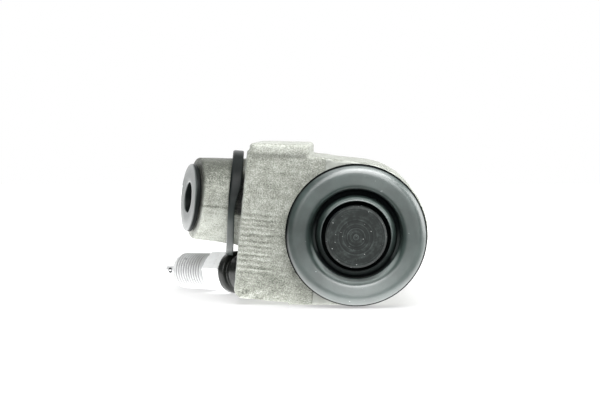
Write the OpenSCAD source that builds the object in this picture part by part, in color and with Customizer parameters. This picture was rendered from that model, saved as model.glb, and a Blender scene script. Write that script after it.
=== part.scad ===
// Double-acting drum brake wheel cylinder: cast body with a slanted inlet boss,
// two pistons with cups and dust boots, and its bleed screw, which is not fitted yet.
// X = 0 is the mounting face, the bore runs along Y at Z = 0, and -Y is the near end.

/* [Body casting] */
// Distance from the mounting face to the bore axis
bore_x = 29.5; // [28:0.1:34]
// Diameter of the bore
bore_d = 22.2; // [19:0.1:24]
// Diameter of the cast barrel
barrel_d = 36.4; // [34:0.1:38]
// Length of the barrel between its two end faces
barrel_len = 45; // [42:0.5:54]
// How far the cast block stands proud of each barrel end face
block_proud = 1.0; // [0.4:0.1:2]
// Distance from the mounting face to the step beside the barrel
block_depth = 20.05; // [18:0.05:22]
// Height of the block above the bore axis, at the mounting face
block_rise = 18.4; // [17:0.1:20]
// Depth of the block below the bore axis
foot_drop = 19.2; // [19:0.02:20]
// Radius of the lower edge of the mounting face
foot_round = 2.4; // [1:0.1:4]
// Radius of the upper edge of the mounting face
block_round = 1.6; // [0.8:0.1:3]

/* [Top pad] */
// Distance from the mounting face to the far edge of the pad
pad_reach = 15.6; // [14:0.1:18]
// Distance from the mounting face to the near edge of the pad
pad_inset = 0.4; // [0.3:0.1:2]
// Height of the pad above the bore axis, at its edge by the mounting face
pad_rise = 20.3; // [19.4:0.1:22]
// Slope of the top of the pad in degrees
pad_slope = 4.4; // [0:0.1:6]
// Thickness of the pad at its edge by the mounting face
pad_thick = 3.2; // [2.4:0.1:4]
// How far the pad bulges past each end face of the block
pad_bulge = 0.6; // [0.2:0.1:1]
// Radius of the rounded ends of the pad
pad_round = 1.4; // [0.8:0.1:2]

/* [Recess under the boss] */
// Width of the recess between the two mounting legs
recess_w = 21; // [18:0.5:23]
// Depth of the recess from the mounting face
recess_depth = 10; // [7:0.1:11]
// Distance of the roof of the recess below the bore axis
recess_drop = 8.4; // [7.9:0.1:10]
// Radius of the inner corner of the recess
recess_round = 3; // [1:0.1:4]

/* [Barrel ends] */
// Diameter of the spigot that carries a boot
spigot_d = 32; // [30:0.1:33]
// Length of the spigot
spigot_len = 3.8; // [3.7:0.1:4]
// Diameter at the bottom of the boot groove
groove_d = 29.8; // [27:0.1:30]
// Distance of the boot groove from the barrel end face
groove_start = 1.2; // [0.9:0.1:1.6]
// Width of the boot groove
groove_w = 2.0; // [1.6:0.1:2.1]
// Chamfer at each mouth of the bore
mouth_chamfer = 0.8; // [0.2:0.1:1.2]

/* [Inlet boss] */
// Height of the boss axis above the bore axis
boss_rise = 4.0; // [2:0.1:5]
// Slant of the boss toward the near end in degrees
boss_slant = 18; // [0:0.5:22]
// Diameter of the boss at its root
boss_root_d = 23.4; // [21:0.1:24]
// Diameter of the boss at its end
boss_end_d = 21.5; // [19:0.1:22.5]
// Length of the boss along its axis
boss_len = 14.5; // [12:0.1:18]
// Diameter of the low collar round the root of the boss
collar_d = 26.6; // [26:0.1:27]
// Height of that collar
collar_h = 1.2; // [0.6:0.1:1.4]
// Core diameter of the inlet thread
inlet_d = 10.9; // [8.4:0.1:12]
// Depth of the inlet thread
inlet_depth = 13; // [10:0.1:14]
// Depth of the chamfer at the mouth of the inlet
inlet_chamfer = 0.8; // [0.2:0.1:1.2]
// Diameter of the drilled fluid passages
passage_d = 2.6; // [1.8:0.1:3.2]

/* [Mounting and bleed holes] */
// Distance between the two mounting holes
hole_pitch = 35; // [34:0.1:36]
// Core diameter of the mounting threads
hole_d = 6.8; // [5:0.1:7.4]
// Depth of the mounting threads
hole_depth = 12; // [8:0.1:13]
// Height of the bleed port above the bore axis
bleed_rise = 11.5; // [11:0.1:13]
// Distance of the bleed port from the middle of the barrel
bleed_y = 16.6; // [16:0.1:17.5]
// Core diameter of the bleed thread
bleed_port_d = 9; // [7:0.1:9.4]
// Depth of the bleed thread
bleed_depth = 10; // [8:0.1:11]

/* [Pistons] */
// Radial running clearance of the pistons and cups in the bore
bore_clear = 0.05; // [0.02:0.01:0.1]
// Distance from the middle of the barrel to the inner face of a piston
piston_in = 13.5; // [13:0.1:14.5]
// Length of the guided part of a piston
skirt_len = 10; // [7:0.1:11]
// Diameter of the piston nose
nose_d = 15.2; // [13:0.1:16.4]
// Distance that the nose stands out of the lip of the boot
nose_proud = 4.5; // [2:0.1:5]
// Chamfer round the end of the nose
nose_chamfer = 0.45; // [0.1:0.05:1]
// Depth of the groove in the nose that the boot grips
nose_groove = 0.7; // [0.3:0.05:1]
// Diameter of the turning pip in the middle of the nose
pip_d = 1.5; // [0.5:0.1:3]
// Height of the turning pip
pip_h = 0.25; // [0.1:0.05:0.5]

/* [Cups and spring] */
// Length of a pressure cup
cup_len = 5; // [4.8:0.1:5.4]
// Thickness of the base of a cup
cup_base = 1.8; // [1:0.1:2.2]
// Thickness of the lip of a cup
cup_lip = 1.7; // [1.2:0.1:2.2]
// Sheet thickness of the expander dishes
dish_sheet = 0.6; // [0.4:0.05:0.8]
// Height of the wall of an expander dish
dish_h = 2.4; // [1.4:0.1:2.8]
// Mean diameter of the spring
spring_d = 12.6; // [10:0.1:14]
// Wire diameter of the spring
spring_wire = 1.3; // [0.8:0.05:1.4]
// Number of turns of the spring
spring_turns = 6; // [5:0.5:7]

/* [Dust boots] */
// Outer diameter of a boot
boot_d = 35.5; // [35:0.1:38]
// Wall of a boot
boot_wall = 1.5; // [1.2:0.05:1.6]
// Distance from the barrel end face to the face of a boot
boot_h = 8.8; // [8.4:0.1:10]
// Gap between the barrel end face and the rim of a boot
boot_gap = 1.3; // [1.1:0.05:1.6]
// Outer radius of the rounded shoulder of a boot
boot_shoulder = 2.3; // [2:0.05:2.6]
// Width of the dished face of a boot
boot_face_w = 2.2; // [1.8:0.1:2.4]
// Slope of the dished face in degrees
boot_dish = 8; // [2:1:10]
// Radius of the edge where the face rolls over into the valley
boot_roll = 0.85; // [0.8:0.05:1]
// Slope of the wall that dips from the face to the valley, in degrees from the axis
boot_dip = 18; // [14:1:22]
// Length of the straight part of that wall
boot_dip_len = 1.6; // [1.3:0.1:1.8]
// Radial gap between the piston nose and the lip of a boot
lip_gap = 1.03; // [0.6:0.01:1.3]
// Wall of the lip of a boot
lip_wall = 1.0; // [0.8:0.05:1.2]
// Width of the edge of the lip
lip_edge = 0.3; // [0.2:0.05:0.6]
// Distance of the edge of the lip below the face of the boot
lip_drop = 0.2; // [0:0.05:0.6]
// How far the lip widens toward its foot
lip_foot = 0.45; // [0:0.05:0.6]
// Thickness of the bead that grips the piston nose
bead_thick = 1.4; // [1:0.05:1.6]
// Distance from the face of a boot to the middle of that bead
bead_drop = 4.4; // [4.2:0.05:4.6]
// Clearance of the rubber beads in their grooves
bead_clear = 0.05; // [0.02:0.01:0.1]

/* [Boss seal ring] */
// Radial width of the ring
ring_wall = 1.5; // [1:0.02:2]
// Radial clearance of the ring round the boss
ring_clear = 0.25; // [0.1:0.05:0.3]
// Thickness of the ring
ring_thick = 2.8; // [1.8:0.1:3.2]
// Distance of the middle of the ring from the mounting face
ring_off = 3.9; // [3.4:0.1:5]
// Turn of the ring about the vertical in degrees
ring_turn = 4.2; // [0:0.1:8]
// Lean of the ring in degrees
ring_lean = -0.9; // [-2:0.1:2]
// Drop of the middle of the ring below the boss axis
ring_drop = 0.45; // [0:0.05:0.5]

/* [Inlet plug] */
// Radial clearance of the plug in the inlet
plug_clear = 0.05; // [0.02:0.01:0.1]
// Diameter of the flange of the plug
plug_flange_d = 17.9; // [15:0.1:20]
// Thickness of the flange
plug_flange_t = 1.4; // [1.2:0.1:3]
// Gap between the flange and the end of the boss
plug_gap = 0.45; // [0.3:0.05:0.9]
// Length of the shank in the inlet
plug_shank = 9.5; // [6:0.1:11]
// Diameter of the blind hole in the plug
plug_hole_d = 8.0; // [6:0.1:8.2]
// Thickness of the closed end of the plug
plug_bottom = 1.4; // [0.8:0.1:2]

/* [Bleed screw] */
// Major diameter of the thread of the screw
screw_d = 10; // [8:0.1:10]
// Length of the thread of the screw
screw_thread = 10.9; // [7:0.1:13]
// Diameter of the seat nose
seat_d = 2.6; // [2:0.1:4]
// Length of the straight seat nose
seat_len = 3.4; // [2.4:0.1:5]
// Length of the cone between the seat nose and the thread
seat_cone = 4.3; // [2:0.1:6]
// Diameter of the cross hole in the seat nose
cross_d = 1.5; // [0.8:0.1:1.6]
// Diameter of the undercut behind the thread
undercut_d = 8.2; // [6.4:0.1:8.6]
// Length of the undercut
undercut_len = 1.2; // [0.8:0.1:2]
// Width across the flats of the hexagon
hex_af = 10; // [9:0.1:11]
// Length of the hexagon
hex_len = 6.6; // [4:0.1:8]
// Turn of the hexagon about the screw axis in degrees
hex_turn = 18; // [0:1:59]
// Diameter of the hose nipple
nipple_d = 6.2; // [5:0.1:7]
// Length of the hose nipple
nipple_len = 8; // [6:0.1:9]
// Diameter of the bleed drilling
bleed_drill_d = 2; // [1:0.1:2.6]
// Swing of the seat end of the screw away from the near end, in degrees
screw_swing = 42.7; // [38:0.1:46]
// Distance of the rim of its cap from the mounting face, level with the table
screw_out = 4.0; // [3.6:0.1:7]
// Distance of the rim of its cap from the far side of the recess
screw_inset = 4.5; // [4.5:0.1:6.5]

/* [Bleed cap] */
// Diameter of the rim of the cap
cap_rim_d = 11.5; // [11:0.1:12.5]
// Length of the rim of the cap
cap_rim_len = 2.2; // [1.4:0.1:3]
// Diameter of the neck between the rim and the dome
cap_neck_d = 9; // [8.6:0.1:10]
// Length of the neck
cap_neck_len = 1.2; // [0.8:0.1:2]
// Diameter of the dome
cap_dome_d = 10; // [9.4:0.1:10.6]
// Length of the cap over all
cap_len = 10.4; // [10:0.1:11.4]
// Radial clearance of the cap on the nipple
cap_clear = 0.05; // [0.02:0.01:0.2]

/* [Hidden] */
$fn = 96;
cut = 1;
bore_r = bore_d / 2;
barrel_r = barrel_d / 2;
half_len = barrel_len / 2;
block_half = half_len + block_proud;
spigot_end = half_len + spigot_len;
inlet_r = inlet_d / 2;
inlet_end = boss_len - inlet_depth;

// Boots: every distance along the axis is measured from the middle of the barrel
boot_r = boot_d / 2;
boot_face = half_len + boot_h;
boot_base = half_len + boot_gap;
wall_mid_r = boot_r - boot_wall / 2;
shoulder_r = boot_r - boot_shoulder;
shoulder_y = boot_face - boot_shoulder;
face_out = [shoulder_r, shoulder_y] + (boot_shoulder - boot_wall / 2) * [-sin(boot_dish), cos(boot_dish)];
face_in = face_out - boot_face_w * [cos(boot_dish), sin(boot_dish)];
roll_at = face_in + boot_roll * [sin(boot_dish), -cos(boot_dish)];
dip_top = roll_at + boot_roll * [-cos(boot_dip), sin(boot_dip)];
dip_end = dip_top - boot_dip_len * [sin(boot_dip), cos(boot_dip)];
lip_in_r = nose_d / 2 + lip_gap;
lip_mid_r = lip_in_r + lip_wall / 2;
valley_bend = (dip_end[0] - lip_mid_r) / (1 + cos(boot_dip));
valley = dip_end + valley_bend * [-cos(boot_dip), sin(boot_dip)];
bead_y = boot_face - bead_drop;
bead_r = nose_d / 2 - nose_groove + bead_clear;
nose_end = boot_face + nose_proud;
groove_at = half_len + groove_start;

// Cups, dishes and spring
cup_in = piston_in - cup_len;
cup_r = bore_r - bore_clear;
dish_y = piston_in - cup_base;
dish_r = cup_r - cup_lip - bead_clear;
spring_half = dish_y - dish_sheet - bead_clear;

// The casting comes to rest on its barrel or its boots, and on the lower edge of its block
rest_r = max(barrel_r, boot_r);
foot_arm = [bore_x - block_depth, foot_drop];
rest_lean = acos(rest_r / norm(foot_arm)) - atan2(foot_arm[0], foot_arm[1]);

// Stations along the bleed screw, measured from the tip of its seat nose
thread_at = seat_len + seat_cone;
hex_at = thread_at + screw_thread + undercut_len;
hex_end = hex_at + hex_len;
nipple_end = hex_end + nipple_len;
cap_rim_r = cap_rim_d / 2;
screw_dip = asin((cap_rim_r - screw_d / 2) / (hex_end - thread_at));
nipple_neck_d = nipple_d - 1.4;

// Point where the line from p runs onto the barrel, above (side -1) or below (side 1)
function touch_barrel(p, side) =
    let (arm = p - [bore_x, 0], swing = atan2(arm[1], arm[0]) + side * acos(barrel_r / norm(arm)))
    [bore_x, 0] + barrel_r * [cos(swing), sin(swing)];

// Draws a section in X and Z and runs it along Y, centred on the middle of the barrel
module along_y(length) {
    rotate([90, 0, 0]) linear_extrude(length, center = true) children();
}

// Turns a piece that was made along +Z about the bore, at the far end or the near one
module at_end(side) {
    translate([bore_x, 0, 0]) rotate([side > 0 ? -90 : 90, 0, 0]) children();
}

// Sets a piece that was made along +Z on the inlet boss, from its root outward
module on_boss() {
    translate([0, 0, boss_rise]) rotate([0, -90, boss_slant]) children();
}

// Lays a piece on the table that the casting rests on
module on_table() {
    translate([bore_x, 0, 0]) rotate([0, -rest_lean, 0]) translate([0, 0, -rest_r]) children();
}

// Lays a piece that was made along the screw axis beside the casting, seat end outward
module beside_casting() {
    on_table()
        translate([-bore_x - screw_out, recess_w / 2 - screw_inset, cap_rim_r])
        rotate([0, 0, -screw_swing])
        rotate([0, 90 - screw_dip, 0])
        translate([0, 0, -hex_end])
        children();
}

// Section of the mounting block
module block_section() {
    top_corner = [block_depth, block_rise];
    polygon([
        [foot_round, -foot_drop], [block_depth, -foot_drop], top_corner,
        [block_round, block_rise], [0, block_rise - block_round], [0, foot_round - foot_drop]
    ]);
    translate([foot_round, foot_round - foot_drop]) circle(foot_round);
    translate([block_round, block_rise - block_round]) circle(block_round);
}

// Section of the webs that run from the block to the barrel
module web_section() {
    low = [block_depth, -foot_drop];
    high = [pad_reach, block_rise];
    polygon([
        [pad_reach, -foot_drop], low, touch_barrel(low, 1), [bore_x, 0], touch_barrel(high, -1), high
    ]);
}

// Raised pad along the top of the block, with rounded ends
module top_pad() {
    pad_half = block_half + pad_bulge;
    pad_low = pad_rise - pad_thick;
    intersection() {
        translate([pad_inset, -pad_half - cut, 0])
            cube([pad_reach - pad_inset, 2 * (pad_half + cut), 2 * pad_rise]);
        translate([0, 0, pad_low - pad_inset * tan(pad_slope)])
            rotate([0, -pad_slope, 0]) rotate([90, 0, 90])
            linear_extrude(2 * pad_reach) {
                for (side = [-1, 1])
                    translate([side * (pad_half - pad_round), pad_thick - pad_round]) circle(pad_round);
                translate([-pad_half, 0]) square([2 * pad_half, pad_thick - pad_round]);
                translate([pad_round - pad_half, 0]) square([2 * (pad_half - pad_round), pad_thick]);
            }
    }
}

// Recess that leaves the casting as two legs below the boss
module leg_recess() {
    along_y(recess_w) {
        translate([-cut, -foot_drop - cut])
            square([recess_depth + cut, foot_drop - recess_drop + cut - recess_round]);
        translate([-cut, -foot_drop - cut])
            square([recess_depth - recess_round + cut, foot_drop - recess_drop + cut]);
        translate([recess_depth - recess_round, -recess_drop - recess_round]) circle(recess_round);
    }
}

// Spigot at one end of the barrel, with the groove for the boot
module spigot(side) {
    at_end(side) rotate_extrude() difference() {
        translate([0, half_len - cut]) square([spigot_d / 2, spigot_len + cut]);
        translate([groove_d / 2, groove_at]) square([spigot_d, groove_w]);
    }
}

// Threaded inlet, its passage to the bore and the chamfer at its mouth
module inlet_port() {
    on_boss() {
        translate([0, 0, inlet_end]) cylinder(h = inlet_depth + cut, d = inlet_d);
        translate([0, 0, boss_len - inlet_chamfer])
            cylinder(h = inlet_chamfer + cut, r1 = inlet_r, r2 = inlet_r + inlet_chamfer + cut);
        translate([0, 0, inlet_end - inlet_r * tan(31)])
            cylinder(h = inlet_r * tan(31), r1 = 0, r2 = inlet_r);
        translate([0, 0, -bore_x]) cylinder(h = bore_x + inlet_end, d = passage_d);
    }
}

// Bleed port in the far leg and its slanted passage to the bore
module bleed_port() {
    port_r = bleed_port_d / 2;
    floor_at = [bleed_depth, bleed_y, bleed_rise];
    bore_at = [bore_x - bore_r / 2, bleed_y - bore_r, bleed_rise - bore_r / 4];
    run = bore_at - floor_at;
    translate([-cut, bleed_y, bleed_rise]) rotate([0, 90, 0]) cylinder(h = bleed_depth + cut, r = port_r);
    translate(floor_at) rotate([0, acos(run[2] / norm(run)), atan2(run[1], run[0])])
        translate([0, 0, -passage_d / 2]) cylinder(h = norm(run) + passage_d, d = passage_d);
}

module cylinder_body() color([0.69, 0.70, 0.67]) difference() {
    union() {
        along_y(2 * block_half) block_section();
        along_y(barrel_len) web_section();
        along_y(barrel_len) translate([bore_x, 0]) circle(barrel_r);
        top_pad();
        for (side = [-1, 1]) spigot(side);
        translate([cut, 0, boss_rise]) rotate([0, -90, 0])
            cylinder(h = cut + collar_h, d1 = collar_d + 2 * cut, d2 = collar_d - 2 * collar_h);
        difference() {
            on_boss() {
                translate([0, 0, -boss_root_d / 2]) cylinder(h = boss_root_d / 2, d = boss_root_d);
                cylinder(h = boss_len, d1 = boss_root_d, d2 = boss_end_d);
            }
            translate([block_depth / 2, -block_half, -foot_drop])
                cube([bore_x, 2 * block_half, 3 * foot_drop]);
        }
    }
    at_end(1) cylinder(h = 2 * spigot_end + 2 * cut, r = bore_r, center = true);
    for (side = [-1, 1]) at_end(side) translate([0, 0, spigot_end - mouth_chamfer])
        cylinder(h = mouth_chamfer + cut, r1 = bore_r, r2 = bore_r + mouth_chamfer + cut);
    leg_recess();
    inlet_port();
    bleed_port();
    for (side = [-1, 1]) translate([-cut, side * hole_pitch / 2, 0]) rotate([0, 90, 0])
        cylinder(h = hole_depth + cut, d = hole_d);
}

// Turned piston: guided skirt, slim nose with the boot groove, and the pip left by the turning tool
module piston(side) color([0.24, 0.27, 0.26]) at_end(side) rotate_extrude() difference() {
    union() {
        translate([0, piston_in]) square([cup_r, skirt_len]);
        polygon([
            [0, piston_in], [nose_d / 2, piston_in], [nose_d / 2, nose_end - nose_chamfer],
            [nose_d / 2 - nose_chamfer, nose_end], [0, nose_end]
        ]);
        translate([0, nose_end]) square([pip_d / 2, pip_h]);
    }
    translate([nose_d / 2 - nose_groove, bead_y - bead_thick / 2 - bead_clear])
        square([nose_d, bead_thick + 2 * bead_clear]);
}

module near_piston() piston(-1);
module far_piston() piston(1);

// Rubber pressure cup that backs on the piston, with its lip toward the fluid
module cup(side) color([0.10, 0.10, 0.11]) at_end(side) rotate_extrude() polygon([
    [0, piston_in], [cup_r, piston_in], [cup_r, cup_in], [cup_r - cup_lip / 2, cup_in],
    [cup_r - cup_lip, dish_y], [0, dish_y]
]);

module near_cup() cup(-1);
module far_cup() cup(1);

// Pressed steel dish inside the cup, which seats one end of the spring
module expander(side) color([0.72, 0.70, 0.62]) at_end(side) rotate_extrude() {
    translate([0, dish_y - dish_sheet]) square([dish_r, dish_sheet]);
    translate([dish_r - dish_sheet, dish_y - dish_h]) square([dish_sheet, dish_h]);
}

module near_expander() expander(-1);
module far_expander() expander(1);

// Coil spring between the two dishes, with its turns closed up toward both ends
module piston_spring() color([0.60, 0.61, 0.62]) {
    sides = 8;
    steps_per_turn = 18;
    steps = spring_turns * steps_per_turn;
    closing = 0.62;
    travel = 2 * spring_half - spring_wire;
    rings = [for (i = [0:steps]) let (
        part = i / steps,
        turn = 360 * spring_turns * part,
        rise = travel * (part - 0.5 - closing * sin(360 * part) / 360 * 180 / PI)
    ) [for (k = [0:sides - 1]) let (
        reach = (spring_d + spring_wire * cos(360 * k / sides)) / 2,
        lift = spring_wire / 2 * sin(360 * k / sides)
    ) [reach * cos(turn), reach * sin(turn), rise + lift]]];
    skin = [for (i = [0:steps - 1], k = [0:sides - 1]) let (next = (k + 1) % sides)
        [i * sides + k, (i + 1) * sides + k, (i + 1) * sides + next, i * sides + next]];
    ends = [[for (k = [0:sides - 1]) k], [for (k = [sides - 1:-1:0]) steps * sides + k]];
    at_end(1) polyhedron([for (ring = rings) each ring], concat(skin, ends));
}

// Bent stretch of a boot wall, between two angles about a centre
module bend(centre, radius, wall, from, to) {
    far = 3 * (radius + wall);
    middle = (from + to) / 2;
    translate(centre) intersection() {
        difference() {
            circle(radius + wall / 2);
            circle(radius - wall / 2);
        }
        polygon([[0, 0], for (turn = [from, middle, to]) far * [cos(turn), sin(turn)]]);
    }
}

// Straight stretch of a boot wall between two points
module strip(from, to, wall) {
    run = to - from;
    lap = wall / 40;
    translate(from) rotate(atan2(run[1], run[0])) translate([-lap, -wall / 2])
        square([norm(run) + 2 * lap, wall]);
}

// Moulded dust boot: rim bead in the barrel groove, shoulder, dished face, valley, and lip round the nose
module boot(side) color([0.36, 0.40, 0.39]) at_end(side) rotate_extrude() {
    rim_top = groove_at + groove_w - bead_clear;
    lip_top = boot_face - lip_drop;
    bead_root = [lip_mid_r, bead_y];
    bead_tip = [bead_r, bead_y];
    translate([groove_d / 2 + bead_clear, boot_base])
        square([wall_mid_r - groove_d / 2, rim_top - boot_base]);
    strip([wall_mid_r, boot_base], [wall_mid_r, shoulder_y], boot_wall);
    bend([shoulder_r, shoulder_y], boot_shoulder - boot_wall / 2, boot_wall, 0, 90 + boot_dish);
    strip(face_out, face_in, boot_wall);
    bend(roll_at, boot_roll, boot_wall, 90 + boot_dish, 180 - boot_dip);
    strip(dip_top, dip_end, boot_wall);
    bend(valley, valley_bend, boot_wall, -180, -boot_dip);
    polygon([
        [lip_in_r, valley[1] - lip_wall / 8], [lip_in_r + lip_wall + lip_foot, valley[1] - lip_wall / 8],
        [lip_in_r + lip_edge, lip_top], [lip_in_r, lip_top]
    ]);
    strip(bead_tip, bead_root, bead_thick);
}

module near_boot() boot(-1);
module far_boot() boot(1);

// Flat rubber ring that seals the boss in its hole in the backing plate
module boss_seal_ring() color([0.20, 0.22, 0.21])
    translate([-ring_off, -ring_off * tan(boss_slant), boss_rise - ring_drop])
    rotate([0, -90 + ring_lean, ring_turn])
    rotate_extrude() translate([boss_root_d / 2 / cos(boss_slant) + ring_clear, -ring_thick / 2])
    square([ring_wall, ring_thick]);

// Hollow plug with a flange, pushed into the inlet to keep it clean
module inlet_plug() color([0.15, 0.16, 0.15]) on_boss() rotate_extrude() {
    shank_r = inlet_r - plug_clear;
    flange_at = boss_len + plug_gap;
    front = flange_at + plug_flange_t;
    edge = plug_flange_t / 6;
    low = boss_len - plug_shank;
    polygon([
        [0, low], [shank_r - edge, low], [shank_r, low + edge], [shank_r, flange_at],
        [plug_flange_d / 2 - edge, flange_at], [plug_flange_d / 2, flange_at + edge],
        [plug_flange_d / 2, front - edge], [plug_flange_d / 2 - edge, front],
        [plug_hole_d / 2 + edge, front], [plug_hole_d / 2, front - edge],
        [plug_hole_d / 2, low + plug_bottom], [0, low + plug_bottom]
    ]);
}

// Bleed screw: seat nose with its cross hole, thread, hexagon and drilled hose nipple
module bleed_screw() color([0.83, 0.84, 0.85]) beside_casting() difference() {
    lead = screw_d / 12;
    union() {
        rotate_extrude() polygon([
            [0, 0], [seat_d / 2 - seat_d / 8, 0], [seat_d / 2, seat_d / 8], [seat_d / 2, seat_len],
            [screw_d / 2 - lead, thread_at - lead], [screw_d / 2, thread_at],
            [screw_d / 2, hex_at - undercut_len], [undercut_d / 2, hex_at - undercut_len],
            [undercut_d / 2, hex_at], [undercut_d / 2, hex_end], [nipple_neck_d / 2, hex_end],
            [nipple_neck_d / 2, nipple_end - nipple_len / 2], [nipple_d / 2, nipple_end - nipple_len / 3],
            [nipple_neck_d / 2, nipple_end], [0, nipple_end]
        ]);
        translate([0, 0, hex_at]) rotate(hex_turn) cylinder(h = hex_len, d = hex_af / cos(30), $fn = 6);
    }
    translate([0, 0, seat_len / 2]) cylinder(h = nipple_end, d = bleed_drill_d / 2);
    translate([0, 0, thread_at]) cylinder(h = nipple_end, d = bleed_drill_d);
    translate([0, 0, seat_len / 2 + cross_d / 2]) rotate([90, 0, 0])
        cylinder(h = 2 * seat_d, d = cross_d, center = true);
}

// Rubber cap over the nipple: rim, neck, and dome with a rounded end
module bleed_cap() color([0.12, 0.13, 0.12]) beside_casting() rotate_extrude() difference() {
    dome_r = cap_dome_d / 2;
    dome_at = hex_end + cap_rim_len + cap_neck_len;
    dome_round = dome_r / 2;
    cap_end = hex_end + cap_len;
    union() {
        translate([0, hex_end]) square([cap_rim_r, cap_rim_len]);
        translate([0, hex_end]) square([cap_neck_d / 2, cap_rim_len + cap_neck_len]);
        translate([0, dome_at]) square([dome_r, cap_end - dome_at - dome_round]);
        translate([0, dome_at]) square([dome_r - dome_round, cap_end - dome_at]);
        translate([dome_r - dome_round, cap_end - dome_round]) circle(dome_round);
    }
    translate([-cap_rim_d, hex_end]) square([cap_rim_d, cap_len]);
    translate([0, hex_end - cut]) square([nipple_d / 2 + cap_clear, nipple_len + cut + cap_clear]);
}

cylinder_body();
near_piston();
far_piston();
near_cup();
far_cup();
near_expander();
far_expander();
piston_spring();
near_boot();
far_boot();
boss_seal_ring();
inlet_plug();
bleed_screw();
bleed_cap();
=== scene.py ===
"""Wheel cylinder on a white table: visible skins for the casting, boots, plug, ring, screw and cap."""

import math

import bpy
import numpy as np
from mathutils import Matrix, Vector


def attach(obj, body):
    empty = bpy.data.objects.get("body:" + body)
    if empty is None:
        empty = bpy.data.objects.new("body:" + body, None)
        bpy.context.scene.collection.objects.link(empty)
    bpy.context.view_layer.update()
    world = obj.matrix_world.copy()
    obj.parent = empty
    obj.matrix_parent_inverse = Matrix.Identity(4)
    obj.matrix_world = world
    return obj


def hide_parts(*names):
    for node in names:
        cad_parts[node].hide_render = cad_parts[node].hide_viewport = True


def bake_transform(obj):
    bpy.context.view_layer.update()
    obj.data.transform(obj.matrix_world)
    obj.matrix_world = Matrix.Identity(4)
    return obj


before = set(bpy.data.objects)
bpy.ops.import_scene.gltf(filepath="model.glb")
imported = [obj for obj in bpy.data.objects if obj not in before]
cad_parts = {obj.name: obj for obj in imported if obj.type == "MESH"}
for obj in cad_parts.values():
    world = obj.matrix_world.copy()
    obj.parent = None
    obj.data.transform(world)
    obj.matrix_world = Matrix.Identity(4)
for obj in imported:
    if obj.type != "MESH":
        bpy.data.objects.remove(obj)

bl_info = {
    "name": "Wheel cylinder",
    "version": (1, 0, 0),
    "blender": (4, 5, 0),
    "location": "View3D > Sidebar > Cylinder",
    "description": "Builds the visible surfaces of a drum brake wheel cylinder",
    "category": "Object",
}

MM = 0.001

# Casting, in millimetres: bore and barrel along Y, mounting face at X 0
BORE_X = 29.5
BORE_R = 11.1
BARREL_R = 18.2
HALF_LEN = 22.5
BLOCK_HALF = 23.5
BLOCK_DEPTH = 20.05
BLOCK_RISE = 18.4
BLOCK_EDGE = 0.4
FOOT_DROP = 19.2
FOOT_ROUND = 2.4
WEB_START = 14.0
SMALL_EDGE = 0.5
CAST_WAVE = 0.02
BEYOND = 99.0

# Raised pad on top, sloping down toward the barrel
PAD_START = 0.4
PAD_TOP = 20.3
PAD_SLOPE = math.radians(4.4)
PAD_RUN = 15.2
PAD_REACH = 15.6
PAD_HALF = 24.1
PAD_THICK = 3.4
PAD_ROUND = 1.1
PAD_FILLET = 0.7

# Slanted inlet boss with its root collar, its inlet and its parting line
BOSS_RISE = 4.0
BOSS_SLANT = math.radians(18.0)
BOSS_LEN = 14.5
BOSS_SUNK = 6.0
BOSS_ROOT_R = 11.7
BOSS_TAPER = 0.0655
BOSS_FILLET = 1.2
PARTING = -1.3
COLLAR_R = 12.7
COLLAR_ENDS = (-1.2, 2.0)
COLLAR_FILLET = 0.8
INLET_R = 5.45
INLET_FOOT = 1.5
INLET_CHAMFER = 0.8

# Spigots that carry the boots, and the recess between the legs
SPIGOT_R = 16.0
SPIGOT_END = 26.3
SPIGOT_EDGE = 0.2
GROOVE_R = 14.9
GROOVE_ENDS = (23.7, 25.7)
RECESS_HALF = 10.5
RECESS_DEPTH = 10.0
RECESS_ROOF = -8.4
RECESS_ROUND = 2.2
RECESS_EDGE = 0.8

# Y, Z, radius and depth of the two mounting holes and the bleed port
HOLES = ((-17.5, 0, 3.4, 12), (17.5, 0, 3.4, 12), (16.6, 11.5, 4.5, 10))
HOLE_CHAMFER = 0.5

# Dust boots, in millimetres
BOOT_R = 17.75
BOOT_SEAT = 23.8
BOOT_FACE = 31.3

# Coil spring, in millimetres
SPRING_R = 6.3
WIRE_R = 0.65
SPRING_TURNS = 6
SPRING_TRAVEL = 20.8
SPRING_CLOSE = 0.62

# Transport plug
PLUG_LEN = 9.5
PLUG_STAND = 0.45
PLUG_R = 5.4
FLANGE_R = 8.95
FLANGE_T = 1.4
PLUG_HOLE_R = 3.9

# Seal ring round the boss
RING_R = 13.3
RING_HALF_WALL = 0.73
RING_X = -3.9
RING_DROP = 0.45
RING_TURN = math.radians(4.2)
RING_LEAN = math.radians(-0.9)

# Bleed screw stations along its axis from the seat tip
SEAT_R = 1.28
SEAT_END = 3.4
THREAD_AT = 7.7
THREAD_END = 18.6
THREAD_R = 4.96
THREAD_DEPTH = 0.62
NECK_R = 4.1
HEX_AT = 19.8
HEX_END = 26.4
HEX_HALF = 5.0
HEX_TURN = math.radians(18)
NIPPLE_R = 2.4
NIPPLE_LEN = 7.9
CROSS_HOLE_AT = 2.1

# Rubber cap on the nipple, and where the screw lies
CAP_RIM_R = 5.75
CAP_BORE_R = 3.15
CAP_NECK_R = 4.5
CAP_R = 5.0
CAP_LEN = 10.4
SCREW_OUT = 4.0
SCREW_SIDE = 6.0
SCREW_TURN = math.radians(42.7)
SCREW_DIP = math.asin((CAP_RIM_R - HEX_HALF) / (HEX_END - THREAD_AT))

# The part rests on its barrel and on the edge of its foot
FOOT_ARM = (BORE_X - BLOCK_DEPTH, FOOT_DROP)
REST_LEAN = math.acos(BARREL_R / math.hypot(*FOOT_ARM)) - math.atan2(*FOOT_ARM)

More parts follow.
